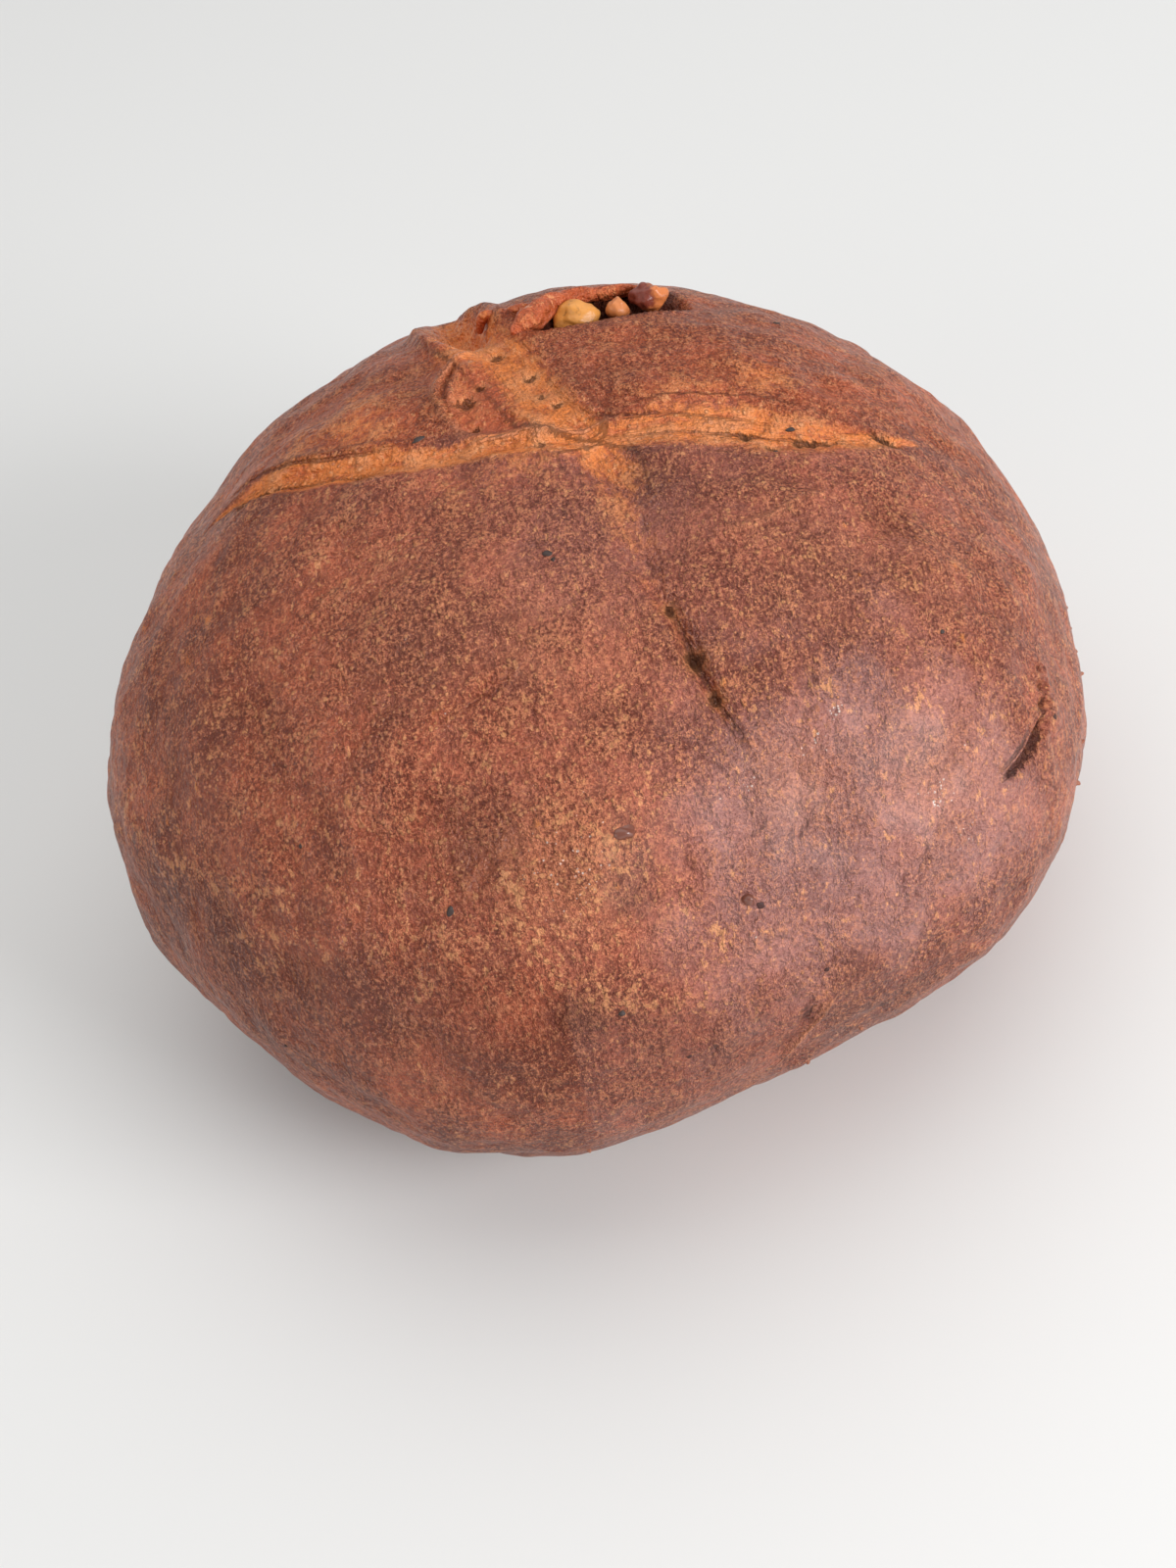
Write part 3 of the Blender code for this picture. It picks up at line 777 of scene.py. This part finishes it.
def crust_recipe():
    inputs = {name: "Float" for name in CRUST_FIELDS}
    inputs["Strand"] = "Vector"
    group, given, result = start_group(
        "crust_recipe", inputs, {"Color": "Color", "Roughness": "Float", "Glaze": "Float", "Height": "Float"}
    )

    def product(first, second):
        return sum_of(group, "MULTIPLY", first, second)

    def plus(first, second):
        return sum_of(group, "ADD", first, second)

    place = lay(group, "TexCoord").outputs["Object"]
    drawn = lay(group, "VectorMath", {0: place, 1: (1.0, 0.6, 0.6)}, operation="MULTIPLY").outputs[0]
    broad = cloud(group, place, 42.0, 3.0)
    middle = cloud(group, place, 190.0, 4.0, 0.6)
    fine = cloud(group, drawn, 1100.0, 3.0, 0.75)
    grit = cloud(group, place, 1900.0, 2.0, 0.7)

    colour = mix(group, span(group, broad, 0.36, 0.56, 0.25, 1.0), DEEP_RED, RED_BROWN)
    colour = mix(group, span(group, middle, 0.36, 0.50, 0.55, 0.0), colour, DEEP_RED)
    colour = mix(group, span(group, middle, 0.54, 0.68, 0.0, 0.40), colour, SALMON)
    colour = mix(group, product(given["Red"], 0.75), colour, BRICK)
    # painted reflection of the window, mixed in where the sheen field is high
    colour = mix(group, product(given["Sheen"], 0.7), colour, PAINTED_SHEEN_MAUVE)

    along = {0: given["Strand"], 1: (0.20, 1.0, 1.0)}
    stretched = lay(group, "VectorMath", along, operation="MULTIPLY").outputs[0]
    fibre = cloud(group, stretched, 700.0, 4.0, 0.6)
    opened = mix(group, span(group, fibre, 0.33, 0.53, 0.20, 1.0), BRICK, AMBER)
    opened = mix(group, span(group, middle, 0.46, 0.64, 0.0, 0.45), opened, TAN)
    ragged = plus(span(group, middle, 0.35, 0.65, -0.32, 0.16), span(group, fine, 0.35, 0.65, -0.18, 0.16))
    colour = mix(group, product(given["Patch"], 0.5), colour, BRICK)
    colour = mix(group, span(group, plus(given["Cut"], ragged), 0.08, 0.80, 0.0, 0.92), colour, opened)
    # salmon on raised folds, and painted highlights on swells that face the light
    colour = mix(group, product(given["Fold_and_painted_highlight"], 0.5), colour, SALMON)

    off_patch = span(group, given["Patch"], 0.0, 1.0, 1.0, 0.3)
    grainy = product(off_patch, span(group, given["Cut"], 0.0, 1.0, 1.0, 0.3))
    grainy = product(grainy, span(group, cloud(group, place, 95.0, 3.0), 0.38, 0.60, 0.60, 1.05))
    grainy = product(grainy, span(group, given["Sheen"], 0.2, 1.0, 1.0, 0.62))
    colour = mix(group, product(span(group, fine, 0.36, 0.50, 0.75, 0.0), grainy), colour, DEEP_RED)
    colour = mix(group, product(span(group, fine, 0.51, 0.62, 0.0, 0.65), grainy), colour, SALMON)
    colour = mix(group, product(span(group, grit, 0.38, 0.51, 0.75, 0.0), grainy), colour, DEEP_RED)
    colour = mix(group, product(span(group, grit, 0.56, 0.64, 0.0, 0.80), grainy), colour, SALMON)

    uneven = span(group, middle, 0.32, 0.66, 0.30, 1.25)
    crowd = plus(product(given["Bloom"], uneven), product(given["Warm"], 0.6))
    specks, tint = dots(group, place, 1150.0, plus(0.10, product(crowd, 0.55)))
    spots, spot_tint = dots(group, drawn, 430.0, product(crowd, 0.38))
    colour = mix(group, product(specks, 0.8), colour, mix(group, tint, SALMON, TAN))
    broken_spots = product(spots, span(group, fine, 0.42, 0.54))
    colour = mix(group, product(broken_spots, 0.85), colour, mix(group, spot_tint, AMBER, TAN))
    flakes = span(group, plus(cloud(group, drawn, 780.0, 4.0, 0.7), product(given["Warm"], 0.17)), 0.59, 0.68)
    colour = mix(group, product(flakes, 0.7), colour, TAN)
    # painted highlights: small near-white gleams painted into the colour, most where the glint field is high
    gleams, _ = dots(group, place, 1700.0, plus(0.13, product(given["Glint"], 0.65)))
    broken = span(group, fine, 0.42, 0.52)
    colour = mix(group, product(product(gleams, broken), 0.75), colour, GLEAM)

    # painted shade: small pores darkened as if shaded inside
    pores, _ = dots(group, place, 520.0, 0.14)
    colour = mix(group, product(pores, 0.55), colour, HOLLOW_SHADE_AND_MOTTLE)
    shaky = span(group, fine, 0.3, 0.7, -0.35, 0.35)
    line = span(group, sum_of(group, "ABSOLUTE", plus(given["Seam"], shaky), 0.0), 0.45, 1.15, 1.0, 0.0)
    slit = product(line, span(group, given["Seam_strength"], 0.0, 1.0))
    thread = product(line, span(group, given["Seam_strength"], -0.8, 0.0, 1.0, 0.0))
    hole = span(group, plus(given["Pit"], product(shaky, 1.3)), 0.45, 1.0, 0.85, 0.0)
    halo = span(group, plus(given["Pit"], shaky), 0.9, 1.9, 0.55, 0.0)
    colour = mix(group, product(halo, span(group, given["Cut"], 0.0, 0.5, 0.25, 1.0)), colour, TAN)
    colour = mix(group, product(thread, 0.5), colour, SALMON)
    # painted shade: holes, slits, the tear and dents go near-black, and the bottom of the front darker
    hollow_shade = sum_of(group, "MAXIMUM", product(hole, 0.8), given["Deep"])
    sunk = sum_of(group, "MAXIMUM", product(slit, 0.8), hollow_shade)
    colour = mix(group, product(sunk, 0.9), colour, HOLLOW_SHADE_AND_MOTTLE)
    group.links.new(colour, result["Color"])

    gloss = plus(span(group, middle, 0.3, 0.7, 0.30, 0.40), product(given["Glint"], -0.10))
    group.links.new(gloss, result["Roughness"])
    glaze = plus(product(given["Sheen"], 0.28), product(given["Glint"], 0.1))
    group.links.new(glaze, result["Glaze"])

    height = plus(product(specks, 0.5), product(spots, 0.5))
    height = plus(height, product(plus(product(fine, 2.6), product(grit, 1.2)), grainy))
    height = plus(height, product(middle, 4.2))
    height = plus(height, product(product(fibre, 2.0), given["Cut"]))
    height = plus(height, product(thread, 0.8))
    dips = plus(product(pores, 0.9), plus(product(slit, 1.6), product(hole, 1.2)))
    height = sum_of(group, "SUBTRACT", height, dips)
    group.links.new(height, result["Height"])
    return group


def crust_material():
    made = plain_material("crust", RED_BROWN, 0.45)
    tree = made.node_tree
    surface = tree.nodes["Principled BSDF"]
    sockets = {name: attribute(tree, name.lower()) for name in CRUST_FIELDS}
    sockets["Strand"] = attribute(tree, "strand", "Vector")
    recipe = lay(tree, "Group", node_tree=crust_recipe())
    for name, source in sockets.items():
        tree.links.new(source, recipe.inputs[name])
    bump = lay(tree, "Bump", {"Height": recipe.outputs["Height"], "Distance": 0.0012, "Strength": 1.0})
    tree.links.new(recipe.outputs["Color"], surface.inputs["Base Color"])
    tree.links.new(recipe.outputs["Roughness"], surface.inputs["Roughness"])
    tree.links.new(bump.outputs["Normal"], surface.inputs["Normal"])
    tree.links.new(recipe.outputs["Glaze"], surface.inputs["Coat Weight"])
    surface.inputs["Specular IOR Level"].default_value = 0.38
    surface.inputs["Coat Roughness"].default_value = 0.38
    return made


crust_look = crust_material()
loaf = add_piece("bread_crust", loaf_points, crust_faces, crust_look, "loaf")
for name, values in crust_values.items():
    store(loaf, name, values)
print("crust points", len(loaf.data.vertices), "triangles", 2 * (side - 1) ** 2 + 4 * (side - 1) - 2)

# %% [markdown]
# ## Balls and lumps
# The nuts, the rolled flap and the small bits on the skin all start as a grid of rings whose first and
# last rings close to one point. The same two functions build them all.

# %% Shapes made of rings


def ball_grid(rows, columns):
    """Unit directions on level rings from the bottom to the top, with a single point's ring at each pole."""
    lift = np.linspace(-math.pi / 2, math.pi / 2, rows)[:, None]
    turn = np.linspace(0, 2 * math.pi, columns, endpoint=False)[None, :]
    return np.stack([np.cos(lift) * np.cos(turn), np.cos(lift) * np.sin(turn), np.sin(lift) + 0 * turn], -1)


def ring_mesh(grid):
    """Points and faces of a grid of rings with each end ring made one point."""
    rows, columns = grid.shape[:2]
    inner = grid[1:-1].reshape(-1, 3)
    points = np.vstack([inner, grid[0].mean(0), grid[-1].mean(0)])
    faces = grid_faces(rows - 2, columns, around=True).tolist()
    low, high = len(inner), len(inner) + 1
    first = np.arange(columns)
    after = (first + 1) % columns
    last = (rows - 3) * columns
    faces += [[low, b, a] for a, b in zip(first.tolist(), after.tolist())]
    faces += [[high, last + a, last + b] for a, b in zip(first.tolist(), after.tolist())]
    return points, faces


def unit(vector):
    return vector / np.linalg.norm(vector, axis=-1, keepdims=True)


print("a ball of 12 by 18 has", len(ring_mesh(ball_grid(12, 18))[0]), "points")

# %% [markdown]
# ## The rolled flap
# Behind the tear the skin rolled up into a smooth red edge that hangs over the nuts. It is a bent roll:
# rings around a smooth path, flattened a little and made uneven by ripples.

# %% Roll the flap
FLAP = (  # (x, y, z, radius) in millimetres
    (2.4, 34.0, 104.2, 0.8), (4.3, 36.0, 103.8, 1.8), (6.9, 38.5, 103.4, 2.4), (9.7, 41.5, 102.5, 2.3),
    (13.1, 44.0, 101.6, 1.9), (16.7, 45.5, 100.6, 1.6), (20.6, 46.5, 99.4, 1.4), (24.5, 46.5, 98.6, 1.3),
    (27.4, 45.5, 98.2, 1.0), (29.4, 44.0, 97.8, 0.5),
)


def roll(knots, rows, columns, roughness, seed):
    """Rings about a path: radius times the knots' radius, 0.85 of it front to back, plus ripples."""
    line = through(knots, rows) * MM
    ahead = unit(np.gradient(line[:, :3], axis=0))
    level = unit(np.cross(ahead, [0.0, 0.0, 1.0]))
    over = np.cross(level, ahead)
    turn = np.linspace(0, 2 * math.pi, columns, endpoint=False)
    ring = -np.cos(turn)[None, :, None] * level[:, None] * 0.85 + np.sin(turn)[None, :, None] * over[:, None]
    share = np.linspace(-1, 1, rows)
    taper = np.sqrt(1 - np.abs(share) ** 14)
    grid = line[:, None, :3] + ring * (line[:, 3] * taper)[:, None, None]
    return grid + ring * (roughness * MM * ripples(grid, 0.004, seed))[..., None]


NOTCH_LIP = (
    (-3.0, 44.2, 98.6, 0.7), (-2.2, 44.8, 100.6, 0.9), (-1.2, 45.0, 101.7, 0.9), (0.4, 44.8, 101.4, 1.1),
    (2.4, 44.2, 101.2, 1.4), (5.0, 43.0, 101.6, 1.6), (8.0, 43.2, 101.4, 1.2),
)
ROLLS = {  # name: (knots, seed, patch, red, cut)
    "tear_flap": (FLAP, 31, 1.0, 0.4, 0.12),
    "notch_lip": (NOTCH_LIP, 33, 0.9, 0.2, 0.45),
}
for name, (knots, seed, *looks) in ROLLS.items():
    points, faces = ring_mesh(roll(knots, 90, 30, 0.26, seed))
    piece = add_piece(name, points, faces, crust_look)
    for field, level in zip(("patch", "red", "cut", "seam", "pit"), (*looks, 3.0, 3.0)):
        store(piece, field, np.full(len(points), level))
    print(name, "points", len(points))

# %% [markdown]
# ## The nuts
# Three pieces of nut sit in the tear. A chopped nut is a rounded lump with a few worn facets, so each is
# a ball in its solid's box whose radius is pulled in by flats and roughened by ripples. The toasted
# one has dark skin on the left and a caramel end on the right.

# %% Shape the nuts
NUT_LOOKS = {  # (colour, second colour, where the second begins and is full, roughness, form, seed)
    "nut_large": ((0.74, 0.31, 0.062, 1.0), (0.50, 0.24, 0.070, 1.0), 0.0165, 0.0200, 0.36, 0.06, 21),
    "nut_small": ((0.66, 0.22, 0.065, 1.0), (0.42, 0.12, 0.035, 1.0), 0.0225, 0.0250, 0.38, 0.07, 22),
    "nut_toasted": ((0.21, 0.040, 0.022, 1.0), (0.66, 0.20, 0.060, 1.0), 0.0262, 0.0300, 0.34, 0.13, 23),
}


def nut_material(name, first, second, begins, full, roughness):
    made = plain_material(name, first, roughness)
    tree = made.node_tree
    surface = tree.nodes["Principled BSDF"]
    place = lay(tree, "TexCoord").outputs["Object"]
    across = lay(tree, "SeparateXYZ", {0: place}).outputs["X"]
    skin_cloud = cloud(tree, place, 330.0, 4.0, 0.6)
    uneven = span(tree, skin_cloud, 0.35, 0.70, -0.45, 0.45)
    share = sum_of(tree, "ADD", span(tree, across, begins, full), uneven)
    colour = mix(tree, span(tree, share, 0.2, 0.8), first, second)
    colour = mix(tree, span(tree, cloud(tree, place, 900.0, 3.0), 0.55, 0.75, 0.0, 0.5), colour, HOLLOW_SHADE_AND_MOTTLE)
    tree.links.new(colour, surface.inputs["Base Color"])
    bump = lay(tree, "Bump", {"Height": cloud(tree, place, 700.0, 4.0), "Distance": 0.0005, "Strength": 0.6})
    tree.links.new(bump.outputs["Normal"], surface.inputs["Normal"])
    surface.inputs["Specular IOR Level"].default_value = 0.4
    surface.inputs["Coat Weight"].default_value = 0.15
    surface.inputs["Coat Roughness"].default_value = 0.25
    return made


def nut_points(name, roughness, seed):
    """A ball in the solid's box: radius times 1 minus flats, plus ripples of two lengths."""
    low, high = (np.array(corner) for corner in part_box(name))
    ball = ball_grid(56, 84)
    random = np.random.default_rng(seed)
    form = np.ones(ball.shape[:2])
    for flat in random.normal(size=(6, 3)):
        form -= 0.12 * ease(0.72, 1.0, ball @ unit(flat))
    form += roughness * ripples(ball, 1.3, seed) + roughness * 0.5 * ripples(ball, 0.6, seed + 1)
    form /= form.max()
    return (low + high) / 2 + ball * form[..., None] * (high - low) / 2


for name, (first, second, begins, full, roughness, rough_form, seed) in NUT_LOOKS.items():
    points, faces = ring_mesh(nut_points(name, rough_form, seed))
    look = nut_material(name, first, second, begins, full, roughness)
    add_piece(name + "_skin", points, faces, look, name)
    print(name, "points", len(points))

# %% [markdown]
# ## Herb flecks, blisters and nibs
# Dark flecks of herb are baked into the skin, a few bubbles stand on it, and little nibs of dough stick
# out at the sides, and near-black bits stand for the shade inside a few open pores. Each is a squashed
# ball, laid on the nearest point of the skin along its own normal.

# %% Lay the small bits on the skin
HERB_FLECKS = (  # (x, y, z, length, width, thickness, turn in degrees) in millimetres
    (-1.0, -24.8, 103.1, 2.0, 1.1, 0.35, 20), (-0.4, -26.0, 103.0, 1.0, 0.8, 0.35, 70),
    (-17.5, 9.1, 105.1, 2.6, 1.1, 0.45, 15), (-28.0, -69.9, 77.1, 1.6, 1.1, 0.40, 50),
    (-6.4, -82.0, 59.9, 1.3, 1.0, 0.40, 0), (48.4, 32.4, 94.0, 1.8, 0.9, 0.35, 30),
    (43.5, -3.6, 99.5, 1.6, 1.0, 0.35, 0), (39.3, -8.3, 100.6, 1.4, 1.0, 0.35, 80),
    (56.0, -40.0, 80.5, 0.9, 0.7, 0.30, 10), (-49.0, -51.0, 80.0, 0.9, 0.6, 0.30, 60),
)
BLISTERS = (
    (-0.1, -65.6, 81.8, 3.4, 2.6, 1.3, 10), (16.7, -72.6, 67.4, 2.2, 1.8, 1.2, 0),
)
NIBS = (
    (86.4, -13.9, 53.5, 1.0, 0.8, 0.6, 0), (86.2, -17.2, 51.6, 0.9, 0.8, 0.6, 40),
    (85.7, -21.4, 50.4, 1.2, 0.8, 0.6, 20), (84.9, -26.0, 48.3, 1.0, 0.8, 0.6, 70),
    (81.5, -37.7, 43.9, 1.0, 0.9, 0.7, 10), (79.0, -42.7, 40.1, 1.2, 0.9, 0.7, 0),
    (31.8, -71.6, 25.6, 1.0, 0.8, 0.6, 30), (21.2, -72.7, 22.8, 1.2, 0.8, 0.6, 0),
    (-17.6, -81.4, 24.5, 0.9, 0.8, 0.6, 0),
)
skin_facing = facing(loaf_points)


def laid_on_skin(bits, seed):
    """Each squashed ball, turned about the skin's normal, and sunk by a third of its thickness."""
    ball = ball_grid(14, 22)
    all_points, all_faces, count = [], [], 0
    for number, (x, y, z, length, width, thickness, degrees) in enumerate(bits):
        nearest = np.linalg.norm(loaf_points - np.array([x, y, z]) * MM, axis=-1).argmin()
        home, out = loaf_points.reshape(-1, 3)[nearest], skin_facing.reshape(-1, 3)[nearest]
        east = unit(np.cross([0.0, 1.0, 0.2], out))
        north = np.cross(out, east)
        angle = math.radians(degrees)
        along = east * math.cos(angle) + north * math.sin(angle)
        axes = np.stack([along * length, np.cross(out, along) * width, out * 2 * thickness]) * MM / 2
        form = 1 + 0.22 * ripples(ball, 1.6, seed + number)
        points, faces = ring_mesh(home - out * thickness * MM * 0.3 + (ball * form[..., None]) @ axes)
        all_points.append(points)
        all_faces += [[corner + count for corner in face] for face in faces]
        count += len(points)
    return np.vstack(all_points), all_faces


def bit_material(name, colour, roughness, coat):
    made = plain_material(name, colour, roughness)
    surface = made.node_tree.nodes["Principled BSDF"]
    surface.inputs["Coat Weight"].default_value = coat
    surface.inputs["Coat Roughness"].default_value = 0.12
    return made


# painted shade: near-black lumps laid where the crust has open pores, for the shade inside them
PORES = (
    (74.1, -45.3, 60.3, 1.3, 0.9, 0.22, 0), (18.1, -73.6, 65.0, 1.5, 1.1, 0.22, 0),
    (27.0, -80.0, 50.5, 0.9, 0.7, 0.20, 0), (-58.0, -60.0, 47.0, 0.9, 0.7, 0.20, 0),
    (2.0, -84.5, 46.0, 0.9, 0.7, 0.20, 0),
)
SMALL_BITS = {  # name: (places, colour, roughness, coat)
    "herb_flecks": (HERB_FLECKS, (0.040, 0.022, 0.017, 1.0), 0.55, 0.0),
    "crust_blisters": (BLISTERS, (0.170, 0.052, 0.030, 1.0), 0.35, 0.5),
    "painted_pore_shade": (PORES, (0.050, 0.010, 0.006, 1.0), 0.60, 0.0),
    "dough_nibs": (NIBS, (0.330, 0.115, 0.060, 1.0), 0.50, 0.0),
}
for seed, (name, (places, colour, roughness, coat)) in enumerate(SMALL_BITS.items()):
    points, faces = laid_on_skin(places, 40 + 20 * seed)
    add_piece(name, points, faces, bit_material(name, colour, roughness, coat))
    print(name, len(places), "bits,", len(points), "points")
